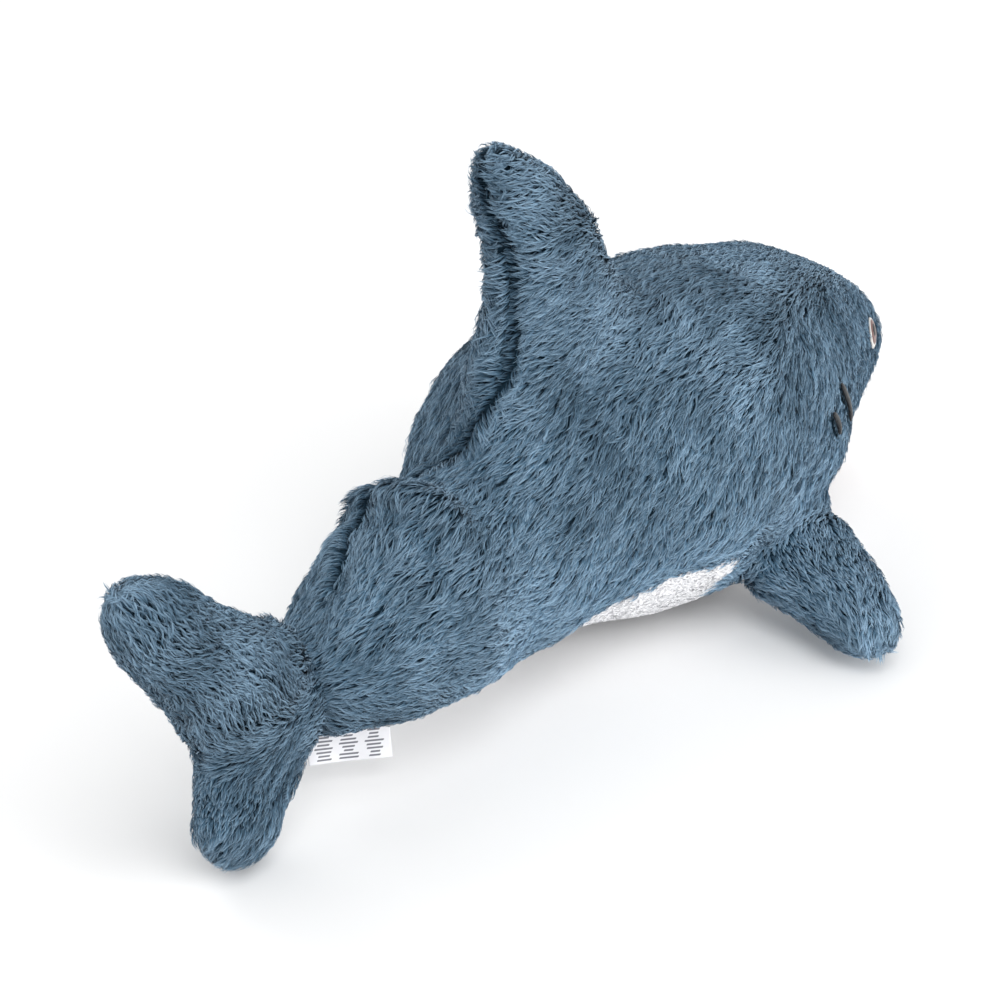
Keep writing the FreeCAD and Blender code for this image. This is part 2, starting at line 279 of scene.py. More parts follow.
def dorsal_form():
    z = np.linspace(DORSAL[0][0], DORSAL[-1][0], 60)
    rear, front, half = curve_through(DORSAL, z).T
    close = rounded(z, 244, 277, 2.2)
    middle = (rear + front) / 2
    half_chord = (front - rear) / 2
    centres = np.stack([middle, 0 * z, z], 1)
    return tube(ovals(centres, X_DIR, Y_DIR, np.maximum(half_chord * close, 1),
                      np.maximum(half * close, 1), 48, 2.3))


def pectoral_axes():
    root = (PECTORAL_REAR + PECTORAL_FRONT) / 2
    chord = unit(PECTORAL_FRONT - PECTORAL_REAR)
    span = PECTORAL_TIP - root
    thick = unit(np.cross(chord, span))
    return root, chord, span, thick


def pectoral_form(side):
    root, chord, span, thick = pectoral_axes()
    s = np.linspace(PECTORAL[0][0], PECTORAL[-1][0], 46)
    half_chord, half = curve_through(PECTORAL, s).T
    close = rounded(s, 0.72, 1.03, 2.2)
    tip_chord = unit(X_DIR - thick * (X_DIR @ thick))
    share = np.clip(s, 0, 1)[:, None]
    along = unit(chord * (1 - share) + tip_chord * share)
    centres = root + span * s[:, None]
    verts, faces = tube(ovals(centres, along, thick, np.maximum(half_chord * close, 1),
                              np.maximum(half * close, 1), 48, 2.2))
    if side > 0:
        verts = verts * np.array([1, -1, 1])
        faces = [f[::-1] for f in faces]
    return verts, faces


def lobe_form(tip, table):
    axis = tip - LOBE_START
    across = unit(np.cross(Y_DIR, axis))
    s = np.linspace(table[0][0], table[-1][0], 44)
    half_chord, half = curve_through(table, s).T
    close = rounded(s, 0.68, table[-1][0] + 0.01, 2.2)
    centres = LOBE_START + axis * s[:, None]
    return tube(ovals(centres, across, Y_DIR, np.maximum(half_chord * close, 1),
                      np.maximum(half * close, 1), 48, 2.2))


def bend_as_it_lies(p):
    """Turns the tail stock and tail fin a little to the toy's right."""
    tail = smoothstep(-150, -200, p[:, 0])
    p = turn_about(p, np.array([TAIL_X, 0, 0]), Z_DIR, TAIL_YAW * tail)
    stock = smoothstep(-60, -120, p[:, 0])
    return turn_about(p, np.array([WAIST_X, 0, 0]), Z_DIR, STOCK_YAW * stock)


def mesh_from(name, verts, faces):
    mesh = bpy.data.meshes.new(name)
    mesh.from_pydata([tuple(v) for v in np.asarray(verts, float)], [], [tuple(f) for f in faces])
    mesh.update()
    return mesh


def joined(forms):
    verts = []
    faces = []
    base = 0
    for v, f in forms:
        verts.append(v)
        faces += [tuple(i + base for i in face) for face in f]
        base += len(v)
    return np.concatenate(verts), faces


def remeshed(name, verts, faces, voxel):
    """One closed surface round all the forms, as vertex and face arrays, all in millimetres."""
    mesh = mesh_from(name, verts * MM, faces)
    obj = bpy.data.objects.new(name, mesh)
    bpy.context.scene.collection.objects.link(obj)
    modifier = obj.modifiers.new("Remesh", "REMESH")
    modifier.mode = "VOXEL"
    modifier.voxel_size = voxel * MM
    graph = bpy.context.evaluated_depsgraph_get()
    result = bpy.data.meshes.new_from_object(obj.evaluated_get(graph))
    v = np.empty(len(result.vertices) * 3)
    result.vertices.foreach_get("co", v)
    quads = np.array([tuple(p.vertices) for p in result.polygons if len(p.vertices) == 4])
    bpy.data.objects.remove(obj)
    bpy.data.meshes.remove(result)
    return v.reshape(-1, 3) / MM, quads


def edges_of(quads):
    e = np.concatenate([quads[:, [0, 1]], quads[:, [1, 2]], quads[:, [2, 3]], quads[:, [3, 0]]])
    return np.unique(np.sort(e, axis=1), axis=0)


def relax(v, edges, amount, rounds):
    """Moves each vertex towards the mean of its neighbours; amount is one number or one per vertex."""
    amount = np.broadcast_to(amount, (len(v),))[:, None]
    count = np.bincount(edges.ravel(), minlength=len(v))[:, None]
    for _ in range(rounds):
        total = np.zeros_like(v)
        for axis in range(3):
            total[:, axis] = (np.bincount(edges[:, 0], v[edges[:, 1], axis], len(v))
                              + np.bincount(edges[:, 1], v[edges[:, 0], axis], len(v)))
        v = v + amount * (total / count - v)
    return v


def normals_of(v, quads):
    n = np.cross(v[quads[:, 2]] - v[quads[:, 0]], v[quads[:, 3]] - v[quads[:, 1]])
    out = np.zeros_like(v)
    for k in range(4):
        for axis in range(3):
            out[:, axis] += np.bincount(quads[:, k], n[:, axis], len(v))
    return unit(out)


def waves(p, length, seed, count=10):
    """Smooth noise, about -1 to 1, whose features are about length across."""
    r = np.random.default_rng(seed)
    total = np.zeros(len(p))
    for _ in range(count):
        direction = unit(r.normal(size=3)) * 2 * np.pi / (length * r.uniform(0.7, 1.5))
        total += np.sin(p @ direction + r.uniform(0, 2 * np.pi))
    return total / math.sqrt(count / 2) / 1.6


# ------------------------------------------------------------------ regions of the surface
def dorsal_height(p):
    """Height over the dorsal fin's hinge line, square to it."""
    along = unit(DORSAL_HINGE_FRONT - DORSAL_HINGE_REAR)
    up = unit(np.cross(along, Y_DIR))
    return (p - DORSAL_HINGE_REAR) @ up


def near_dorsal(p):
    return (p[:, 0] > -62) & (p[:, 0] < 118) & (np.abs(p[:, 1]) < 60)


def middle_line(p):
    """Sideways place of the seam between the left and right panels, on the back and round the fins."""
    middle = -np.tan(np.radians(STOCK_YAW)) * np.maximum(WAIST_X - p[:, 0], 0)
    middle = middle - np.tan(np.radians(TAIL_YAW)) * np.maximum(TAIL_X - p[:, 0], 0)
    back = curve_through(BACK_SEAM, p[:, 0])[:, 0]
    fin = (-10.0 + 13.0 * smoothstep(205, 262, p[:, 2])) * (1 - smoothstep(-20, 8, p[:, 0]))
    w = smoothstep(150, 172, p[:, 2]) * near_dorsal(p)
    return middle + back * (1 - w) + fin * w


def across_seam(p):
    return p[:, 1] - middle_line(p)


def pectoral_span(p):
    """Distance out along the pectoral fin of that side, and distance from the fin's middle line."""
    root, _, span, _ = pectoral_axes()
    q = np.stack([p[:, 0], -np.abs(p[:, 1]), p[:, 2]], 1) - root
    d = unit(span)
    s = q @ d
    return s, np.linalg.norm(q - s[:, None] * d, axis=1)


def on_pectoral(p):
    s, off = pectoral_span(p)
    return smoothstep(12, 24, s) * (1 - smoothstep(44, 52, off))


def on_tail(p):
    return smoothstep(-165, -182, p[:, 0])


def seam_hidden(p):
    """Near 1 where the pile closes over the back seam: on the tail, the fin's front edge and the head."""
    x = p[:, 0]
    behind = 0.85 * smoothstep(-118, -132, x)
    ahead = 0.9 * smoothstep(-8, 8, x - 30 + 0.43 * (p[:, 2] - 150))
    return np.maximum(behind, ahead)


def belly_edge(x):
    return curve_through(BELLY_EDGE, x)[:, 0]


def flow(p, n):
    """Combing direction of the pile at surface points with normals n."""
    x = p[:, 0]
    side = np.where(p[:, 1] > 0, 1.0, -1.0)
    high = smoothstep(120, 165, p[:, 2])
    down = 0.12 + 1.15 * smoothstep(-70, 25, x) * (1 - 0.85 * high) + 1.5 * smoothstep(120, 190, x)
    hem = 1 - smoothstep(4, 18, p[:, 2] - belly_edge(x))
    down = down * (1 - 0.75 * hem) * smoothstep(-1.2, 0.2, n[:, 2] + 0.9)
    down = down * (1 - 0.9 * smoothstep(0.45, 0.85, n[:, 2]))
    body = np.stack([-np.ones_like(x), 0.0 * x, -down], 1)
    fin = np.stack([-0.95 + 0 * x, 0 * x, -0.30 + 0.0075 * (p[:, 2] - 165)], 1)
    w_fin = smoothstep(34, 60, dorsal_height(p)) * near_dorsal(p)
    body = body * (1 - w_fin[:, None]) + fin * w_fin[:, None]
    span = pectoral_axes()[2]
    out = unit(span) + 0.35 * np.array([-1.0, 0, 0])
    paddle = np.stack([out[0] + 0 * x, -out[1] * side, out[2] + 0 * x], 1)
    w = on_pectoral(p)[:, None]
    body = body * (1 - w) + paddle * w
    up = unit(UPPER_TIP - LOBE_START)
    low = unit(LOWER_TIP - LOBE_START) + 0.25 * np.array([-1.0, 0, 0])
    q = p - LOBE_START
    which = smoothstep(-18, 18, q @ unit(up - unit(low)))[:, None]
    lobe = up * which + low * (1 - which)
    w = on_tail(p)[:, None]
    body = body * (1 - w) + lobe * w
    # The pile parts at the seam between the left and right panels.
    d = across_seam(p)
    part = np.sign(d) * np.exp(-(d / 7.0) ** 2) * (p[:, 2] > belly_edge(x) + 12) * 0.9 * (1 - seam_hidden(p))
    body = body + Y_DIR * part[:, None]
    tangent = body - n * np.sum(body * n, 1)[:, None]
    return unit(tangent)


def bare_distance(p):
    """Distance from the nearest eye, gill line or mouth, where the pile is trimmed; below zero on them."""
    q = np.stack([p[:, 0], p[:, 2]], 1)
    out = np.hypot(q[:, 0] - EYE[0], q[:, 1] - EYE[1]) - EYE_RADII[0]
    for start, end in GILLS:
        a = np.array(start, float)
        d = np.array(end, float) - a
        t = np.clip((q - a) @ d / (d @ d), 0, 1)
        out = np.minimum(out, np.linalg.norm(q - a - t[:, None] * d, axis=1) - GILL_WIDTH / 2)
    out[p[:, 0] < 120] = 99.0
    arc = np.hypot((p[:, 0] - MOUTH_X) / MOUTH_FRONT, p[:, 1] / MOUTH_HALF)
    band = np.abs(arc - (1 + MOUTH_BACK / MOUTH_FRONT) / 2) * MOUTH_FRONT - (MOUTH_FRONT - MOUTH_BACK) / 2
    under = (p[:, 0] > MOUTH_X - 3) & (p[:, 2] < 72)
    return np.where(under, np.minimum(out, band), out)


# ------------------------------------------------------------------ backing surface
def bump(d, width):
    return np.exp(-(d / width) ** 2)


def sewn(v, n):
    """How far each point is drawn in by seams, folds and creases, in millimetres."""
    x = v[:, 0]
    d = across_seam(v)
    blue = (v[:, 2] > belly_edge(x) + 10) * 1.0
    fin = smoothstep(44, 60, dorsal_height(v)) * near_dorsal(v)
    depth = blue * bump(d, 3.2) * (2.2 + 1.4 * fin) * (1 - seam_hidden(v))
    depth += blue * bump(d, 11) * fin * 1.5 * smoothstep(20, -20, x)
    # The filling is thin where the toy bends, so the back folds up in a ridge with a hollow behind it.
    top = smoothstep(92, 116, v[:, 2])
    sweep = x + 84 - 0.10 * np.abs(v[:, 1] + 4) + 3.0 * waves(v, 60, 8)
    ridge = top * smoothstep(-36, -20, v[:, 1])
    depth -= ridge * bump(sweep, 6.5) * 5.0
    depth += ridge * bump(sweep - 17, 10) * 1.0 + smoothstep(84, 112, v[:, 2]) * bump(sweep + 14, 6) * 1.8
    depth += blue * bump(d + 1.0, 4.0) * bump(x + 106, 13) * 2.2
    depth -= blue * bump(d - 9.0, 6.0) * bump(x + 106, 15) * 1.6
    # Crease round the root of the tail fin, belly seam, pectoral seams.
    depth += bump(x - SPLIT_X, 4.5) * 4.5 - bump(x - SPLIT_X + 10, 7) * 2.0
    depth += bump(v[:, 2] - belly_edge(x), 3.0) * 1.2 * (x > -160) * (np.abs(n[:, 2]) < 0.9)
    s, off = pectoral_span(v)
    depth += bump(s - 15, 5.0) * (1 - smoothstep(46, 56, off)) * 3.0
    # Dents on the back and behind the head, and the trimmed gill lines.
    for place, width, deep in DENTS:
        depth += bump(np.linalg.norm(v - np.array(place), axis=1), width) * deep
    return depth + bump(np.maximum(bare_distance(v), 0), 3.5) * 0.8


def backing():
    forms = [trunk_form(), dorsal_form(), pectoral_form(-1), pectoral_form(1),
             lobe_form(UPPER_TIP, UPPER), lobe_form(LOWER_TIP, LOWER)]
    verts, faces = joined(forms)
    verts = bend_as_it_lies(verts)
    v, quads = remeshed("form", verts, faces, VOXEL)
    edges = edges_of(quads)
    v = relax(v, edges, 0.5, 6)
    s, off = pectoral_span(v)
    root = (bump(dorsal_height(v) - 38, 9) * near_dorsal(v) + bump(s - 14, 9) * (off < 55)
            + 0.4 * bump(v[:, 0] + 185, 14))
    v = relax(v, edges, np.clip(root, 0, 1) * 0.6, 14)
    n = normals_of(v, quads)
    v = v - n * (PILE_RISE + sewn(v, n))[:, None]
    # Uneven filling.
    v = v + n * (waves(v, 95, 3) * 1.3 + waves(v, 45, 4) * 0.8)[:, None]
    v = relax(v, edges, 0.4, 2)
    v[:, 2] = np.maximum(v[:, 2], BELLY_FLOOR)
    return v, quads


PANELS = {
    "trunk_left": ("side_panel_left", "stock_panel_left", "body_stuffing"),
    "trunk_right": ("side_panel_right", "stock_panel_right", "stock_stuffing"),
    "belly": ("belly_panel", "stock_belly_panel"),
    "tail_fin_left": ("tail_fin_panel_left", "tail_fin_stuffing"),
    "tail_fin_right": ("tail_fin_panel_right",),
    "dorsal_left": ("dorsal_panel_left", "dorsal_stuffing"),
    "dorsal_right": ("dorsal_panel_right",),
    "pectoral_top_left": ("pectoral_top_left", "pectoral_stuffing_left"),
    "pectoral_bottom_left": ("pectoral_bottom_left",),
    "pectoral_top_right": ("pectoral_top_right", "pectoral_stuffing_right"),
    "pectoral_bottom_right": ("pectoral_bottom_right",),
}
NAMES = list(PANELS)


def panel_of(c):
    """Panel number of each face centre."""
    left = across_seam(c) > 0
    out = np.where(left, NAMES.index("trunk_left"), NAMES.index("trunk_right"))
    out[c[:, 2] < belly_edge(c[:, 0])] = NAMES.index("belly")
    fin = (dorsal_height(c) > 40) & near_dorsal(c)
    out[fin & left] = NAMES.index("dorsal_left")
    out[fin & ~left] = NAMES.index("dorsal_right")
    tail = c[:, 0] < SPLIT_X
    out[tail & left] = NAMES.index("tail_fin_left")
    out[tail & ~left] = NAMES.index("tail_fin_right")
    s, off = pectoral_span(c)
    root, _, _, thick = pectoral_axes()
    q = np.stack([c[:, 0], -np.abs(c[:, 1]), c[:, 2]], 1) - root
    top = q @ (thick if thick[2] > 0 else -thick) > 0
    fin = (s > 15) & (off < 48)
    for name, mask in (("top", top), ("bottom", ~top)):
        out[fin & mask & left] = NAMES.index("pectoral_" + name + "_left")
        out[fin & mask & ~left] = NAMES.index("pectoral_" + name + "_right")
    return out


def attach(obj, panel):
    """Bakes the piece's placement into its mesh, the same way for every panel."""
    if panel in ("trunk_left", "trunk_right", "belly"):
        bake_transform(obj)
    elif panel.startswith("tail_fin"):
        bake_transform(obj)
    elif panel.startswith("dorsal"):
        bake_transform(obj)
    else:
        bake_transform(obj)


# ------------------------------------------------------------------ materials
def material(name, base, roughness, specular=0.3, sheen=0.0):
    m = bpy.data.materials.new(name)
    m.use_nodes = True
    shader = m.node_tree.nodes["Principled BSDF"]
    shader.inputs["Base Color"].default_value = (*base, 1)
    shader.inputs["Roughness"].default_value = roughness
    shader.inputs["Specular IOR Level"].default_value = specular
    shader.inputs["Sheen Weight"].default_value = sheen
    shader.inputs["Sheen Roughness"].default_value = 0.5
    return m, m.node_tree, shader


def srgb(r, g, b):
    c = np.array([r, g, b]) / 255.0
    return tuple(np.where(c <= 0.04045, c / 12.92, ((c + 0.055) / 1.055) ** 2.4))


def ramp_node(tree, stops):
    ramp = tree.nodes.new("ShaderNodeValToRGB")
    while len(ramp.color_ramp.elements) < len(stops):
        ramp.color_ramp.elements.new(0.5)
    for element, (place, colour) in zip(ramp.color_ramp.elements, stops):
        element.position = place
        element.color = (*colour, 1)
    return ramp


def pile_material(name, root, middle, tip, dark, light):
    """Pile whose colour runs from a dark root, painted shade deep in the pile, to a light tip, painted light
    where the tips catch it, with each strand a little lighter or darker by its tint.
    """
    m, tree, shader = material(name, middle, 0.6, 0.25, 0.12)
    along = tree.nodes.new("ShaderNodeAttribute")
    along.attribute_name = "along"
    tint = tree.nodes.new("ShaderNodeAttribute")
    tint.attribute_name = "tint"
    # Dark root colour is painted shade; light tip colour is painted light.
    ramp = ramp_node(tree, [(0.0, root), (0.35, middle), (1.0, tip)])
    tree.links.new(along.outputs["Fac"], ramp.inputs["Fac"])
    shade = ramp_node(tree, [(0.0, dark), (1.0, light)])
    tree.links.new(tint.outputs["Fac"], shade.inputs["Fac"])
    mix = tree.nodes.new("ShaderNodeMix")
    mix.data_type = "RGBA"
    mix.blend_type = "MULTIPLY"
    mix.inputs["Factor"].default_value = 1.0
    tree.links.new(ramp.outputs["Color"], mix.inputs["A"])
    tree.links.new(shade.outputs["Color"], mix.inputs["B"])
    tree.links.new(mix.outputs["Result"], shader.inputs["Base Color"])
    return m


def backing_material(name, base, spot):
    """Woven backing seen only deep between the locks; the blue backing's dark colour is painted shade in the
    gaps of the pile.
    """
    m, tree, shader = material(name, base, 0.9, 0.1)
    coords = tree.nodes.new("ShaderNodeTexCoord")
    noise = tree.nodes.new("ShaderNodeTexNoise")
    noise.inputs["Scale"].default_value = 420.0
    noise.inputs["Detail"].default_value = 3.0
    tree.links.new(coords.outputs["Object"], noise.inputs["Vector"])
    ramp = ramp_node(tree, [(0.35, spot), (0.65, base)])
    tree.links.new(noise.outputs["Fac"], ramp.inputs["Fac"])
    tree.links.new(ramp.outputs["Color"], shader.inputs["Base Color"])
    bump = tree.nodes.new("ShaderNodeBump")
    bump.inputs["Strength"].default_value = 0.5
    bump.inputs["Distance"].default_value = 0.0008
    tree.links.new(noise.outputs["Fac"], bump.inputs["Height"])
    tree.links.new(bump.outputs["Normal"], shader.inputs["Normal"])
    return m


# ------------------------------------------------------------------ pile
def scatter(v, quads, faces, spacing, r):
    """Random points on some faces, about spacing apart: positions, face numbers and their corner weights."""
    q = quads[faces]
    a, b, c, d = (v[q[:, k]] for k in range(4))
    area = 0.5 * np.linalg.norm(np.cross(c - a, d - b), axis=1)
    want = area / spacing**2
    count = np.floor(want + r.random(len(want))).astype(int)
    pick = np.repeat(np.arange(len(faces)), count)
    s = r.random((len(pick), 1))
    t = r.random((len(pick), 1))
    return pick, s, t


def bilinear(values, q, s, t):
    return (values[q[:, 0]] * (1 - s) * (1 - t) + values[q[:, 1]] * s * (1 - t)
            + values[q[:, 2]] * s * t + values[q[:, 3]] * (1 - s) * t)


def streaks(p, direction, length, seed):
    """Smooth noise drawn out along the combing direction, about -1 to 1."""
    return sum(waves(p + direction * reach, length, seed) for reach in (-5, -2.5, 0, 2.5, 5)) / 3.4


def pile(name, v, n, quads, faces, style, seed):
    """Mesh of locks of pile on some faces of the backing. Each lock is a bundle of tapered strands, and each
    strand is a ribbon of seven points."""
    r = np.random.default_rng(seed)
    pick, s, t = scatter(v, quads, faces, style["spacing"], r)
    q = quads[faces][pick]
    base = bilinear(v, q, s, t)
    normal = unit(bilinear(n, q, s, t))
    bare = bare_distance(base)
    keep = bare > 0.3
    base, normal, bare = base[keep], normal[keep], bare[keep]
    k = len(base)
    per = style["strands"]
    length = style["length"](base) * r.uniform(0.72, 1.2, k) * np.clip(0.25 + bare / 12, 0.25, 1.0)
    short = length / style["full"]
    direction = flow(base, normal)
    across = np.cross(normal, direction)
    swing = np.radians(waves(base, 60, 21) * 13 + waves(base, 19, 22) * 12 + r.normal(0, 8, k))[:, None]
    direction = direction * np.cos(swing) + across * np.sin(swing)
    across = np.cross(normal, direction)
    low = r.random(k) < 0.08
    streak = streaks(base, direction, 8, 41)
    lean = streaks(base + across * 1.0, direction, 8, 41) - streaks(base - across * 1.0, direction, 8, 41)
    # Tone of each lock: the place's tone, random waves and streaks, and painted shade on the low locks.
    tone = (style["tone"](base) + 0.15 * waves(base, 75, 31) + 0.11 * waves(base, 26, 32)
            + r.normal(0, 0.07, k) + style["streak"] * streak - 0.10 * low)
    off_a = r.normal(0, style["lock"], (k, per))
    off_b = r.normal(0, style["lock"] * 1.6, (k, per))
    grow = length[:, None] * r.uniform(0.72, 1.12, (k, per))
    crown = 1 - 0.30 * np.clip((off_a / style["lock"]) ** 2, 0, 2.2)
    lift = (style["lift"] * np.sqrt(short) * (1 + 0.35 * streak) * np.where(low, 0.6, 1.0)
            * r.uniform(0.8, 1.25, k))[:, None] * crown
    curl = (r.normal(0, 0.7, k) * short)[:, None] + r.normal(0, 0.22, (k, per))
    levels = np.array([0.0, 0.34, 0.68, 1.0])
    height = np.array([-0.3, 0.80, 1.0, 0.50])
    width = np.array([0.9, 1.0, 0.8, 0.0]) * style["width"]
    shape = (k, per, 3)
    d = np.broadcast_to(direction[:, None], shape)
    a = np.broadcast_to(across[:, None], shape)
    up = np.broadcast_to(normal[:, None], shape)
    roll = (r.normal(0, 0.55, (k, per)) + 0.5 * np.clip(off_a / style["lock"], -2, 2))[..., None]
    wide = a * np.cos(roll) - up * np.sin(roll)
    points = []
    for level, rise, w in zip(levels, height, width):
        gather = 1 - 0.66 * level
        centre = (base[:, None] + a * (off_a * gather + curl * math.sin(level * 4.4))[..., None]
                  + a * (lean * level * style["clump"] * short)[:, None, None]
                  + d * (off_b * (1 - 0.6 * level) + grow * level)[..., None]
                  + up * (lift * rise)[..., None])
        points += [centre - wide * (w / 2), centre + wide * (w / 2)] if w > 0 else [centre]
    strands = np.stack(points, 2).reshape(-1, RIBBON_POINTS, 3)
    strands[..., 2] = np.maximum(strands[..., 2], PILE_FLOOR)
    count = len(strands)
    offset = (np.arange(count) * RIBBON_POINTS)[:, None, None]
    fours = (np.array([(0, 1, 3, 2), (2, 3, 5, 4)])[None] + offset).reshape(-1)
    threes = (np.array([(4, 5, 6)])[None] + offset).reshape(-1)
    loops = np.concatenate([fours, threes]).astype(np.int32)
    starts = np.concatenate([np.arange(count * 2) * 4, count * 8 + np.arange(count) * 3]).astype(np.int32)
    mesh = bpy.data.meshes.new(name)
    mesh.vertices.add(count * RIBBON_POINTS)
    mesh.vertices.foreach_set("co", (strands.reshape(-1) * MM).astype(np.float32))
    mesh.loops.add(len(loops))
    mesh.loops.foreach_set("vertex_index", loops)
    mesh.polygons.add(count * 3)
    mesh.polygons.foreach_set("loop_start", starts)
    mesh.polygons.foreach_set("use_smooth", np.ones(count * 3, bool))
    mesh.update(calc_edges=True)
    mesh.validate()
    along = np.tile(np.append(np.repeat(levels[:3], 2), 1.0), count)
    # Tint of each strand: random, plus painted shade on the outer strands of a lock, which lie lower than
    # its middle.
    shade = np.repeat(tone, per) + r.normal(0, 0.09, count) + 0.10 * (crown.reshape(-1) - 0.8)
    shade = np.repeat(np.clip(shade, 0.0, 1.0), RIBBON_POINTS)
    layer = mesh.attributes.new("along", "FLOAT", "POINT")
    layer.data.foreach_set("value", along.astype(np.float32))
    layer = mesh.attributes.new("tint", "FLOAT", "POINT")
    layer.data.foreach_set("value", shade.astype(np.float32))
    uv = mesh.uv_layers.new(name="OFBake")
    corners = np.empty(len(mesh.loops), np.int32)
    mesh.loops.foreach_get("vertex_index", corners)
    coords = np.stack([0.02 + 0.96 * along[corners], 0.02 + 0.96 * shade[corners]], 1)
    uv.data.foreach_set("uv", coords.reshape(-1).astype(np.float32))
    return mesh


def blue_length(p):
    """Pile length: long on the body and fins, short on the head and along the belly seam."""
    head = smoothstep(110, 200, p[:, 0])
    hem = 1 - smoothstep(2, 16, np.abs(p[:, 2] - belly_edge(p[:, 0])))
    seam = np.exp(-(across_seam(p) / 4.0) ** 2) * (1 - seam_hidden(p))
    crease = np.exp(-((p[:, 0] - SPLIT_X - 2) / 5.0) ** 2)
    return (BLUE_LONG - 3.6 * head) * (1 - 0.45 * hem) * (1 - 0.3 * seam) * (1 - 0.55 * crease)


def blue_tone(p):
    """Tone of the blue pile: painted light low on the flanks, painted shade along the back seam, in the
    crease at the tail fin's root and in the swirl patches, and a little darker on the fins.
    """
    # Painted light: the low flanks are made lighter.
    lit_low_flank = smoothstep(-130, -60, p[:, 0]) * smoothstep(150, 90, p[:, 0]) * smoothstep(110, 55, p[:, 2])
    tail = on_tail(p)
    # Painted shade in the swirl patches.
    swirl_shade = sum(bump(np.linalg.norm(p - np.array(place), axis=1), width) for place, width in SWIRL_SHADE_PATCHES)
    # Painted shade along the back seam and in the crease at the tail fin's root.
    seam = np.exp(-(across_seam(p) / 2.6) ** 2) * (1 - seam_hidden(p))
    seam += 0.8 * np.exp(-((p[:, 0] - SPLIT_X) / 3.5) ** 2)
    fins = 0.02 * tail + 0.04 * on_pectoral(p)
    return 0.40 + 0.46 * lit_low_flank * (1 - tail) - fins - 0.18 * swirl_shade - 0.22 * seam


def white_length(p):
    return WHITE_LONG + 0 * p[:, 0]


def white_tone(p):
    return 0.5 + 0 * p[:, 0]


# How each pile is laid: spacing of the locks, strands in a lock, length at each place and full length, lift
# off the backing, width of a strand, spread of a lock, tone at each place, and how it streaks and clumps.
BLUE_STYLE = {
    "spacing": 1.62, "strands": 7, "length": blue_length, "full": BLUE_LONG, "lift": 2.3, "width": 0.33,
    "lock": 0.42, "tone": blue_tone, "streak": 0.09, "clump": 1.3,
}
WHITE_STYLE = {
    "spacing": 1.15, "strands": 5, "length": white_length, "full": WHITE_LONG, "lift": 0.7, "width": 0.62,
    "lock": 0.55, "tone": white_tone, "streak": 0.0, "clump": 0.0,
}


def link(name, mesh):
    obj = bpy.data.objects.new(name, mesh)
    bpy.context.scene.collection.objects.link(obj)
    return obj


def add_pile(name, v, n, quads, faces, style, looks, seed):
    """Pile of one panel, in as many pieces as keep each one small."""
    centres = v[quads[faces]].mean(1)
    order = faces[np.argsort(centres[:, 0])]
    area = 0.5 * np.linalg.norm(np.cross(v[quads[order, 2]] - v[quads[order, 0]],
                                         v[quads[order, 3]] - v[quads[order, 1]]), axis=1)
    total = area.sum() / style["spacing"] ** 2 * style["strands"]
    parts = max(1, int(math.ceil(total / STRANDS_PER_PIECE)))
    share = np.minimum((np.cumsum(area) / area.sum() * parts).astype(int), parts - 1)
    for part in range(parts):
        label = "pile_" + name + ("_%d" % part if parts > 1 else "")
        mesh = pile(label, v, n, quads, order[share == part], style, seed + part)
        mesh.materials.append(looks)
        fur = link(label, mesh)
        attach(fur, name)


# ------------------------------------------------------------------ eyes, gill lines, mouth, label
def thread_material(name, base, dark, period, spin=0.0):
    """Satin stitching: fine parallel threads with a soft shine; the darker colour in the grooves between the
    threads is painted shade.
    """
    m, tree, shader = material(name, base, 0.42, 0.45, 0.15)
    coords = tree.nodes.new("ShaderNodeTexCoord")
    turn = tree.nodes.new("ShaderNodeMapping")
    turn.inputs["Rotation"].default_value = (0.0, spin, 0.0)
    tree.links.new(coords.outputs["Object"], turn.inputs["Vector"])
    wave = tree.nodes.new("ShaderNodeTexWave")
    wave.inputs["Scale"].default_value = 2 * math.pi / (20 * period * MM)
    wave.inputs["Distortion"].default_value = 0.8
    wave.inputs["Detail"].default_value = 2.0
    tree.links.new(turn.outputs["Vector"], wave.inputs["Vector"])
    # Dark colour in the grooves between threads: painted shade.
    ramp = ramp_node(tree, [(0.1, dark), (0.6, base)])
    tree.links.new(wave.outputs["Fac"], ramp.inputs["Fac"])
    tree.links.new(ramp.outputs["Color"], shader.inputs["Base Color"])
    rise = tree.nodes.new("ShaderNodeBump")
    rise.inputs["Strength"].default_value = 0.6
    rise.inputs["Distance"].default_value = 0.0003
    tree.links.new(wave.outputs["Fac"], rise.inputs["Height"])
    tree.links.new(rise.outputs["Normal"], shader.inputs["Normal"])
    return m


def felt_material(name, base, dark):
    m, tree, shader = material(name, base, 0.95, 0.05, 0.5)
    coords = tree.nodes.new("ShaderNodeTexCoord")
    noise = tree.nodes.new("ShaderNodeTexNoise")
    noise.inputs["Scale"].default_value = 900.0
    noise.inputs["Detail"].default_value = 6.0
    tree.links.new(coords.outputs["Object"], noise.inputs["Vector"])
    ramp = ramp_node(tree, [(0.35, dark), (0.7, base)])
    tree.links.new(noise.outputs["Fac"], ramp.inputs["Fac"])
    tree.links.new(ramp.outputs["Color"], shader.inputs["Base Color"])
    rise = tree.nodes.new("ShaderNodeBump")
    rise.inputs["Strength"].default_value = 0.5
    rise.inputs["Distance"].default_value = 0.0004
    tree.links.new(noise.outputs["Fac"], rise.inputs["Height"])
    tree.links.new(rise.outputs["Normal"], shader.inputs["Normal"])
    return m


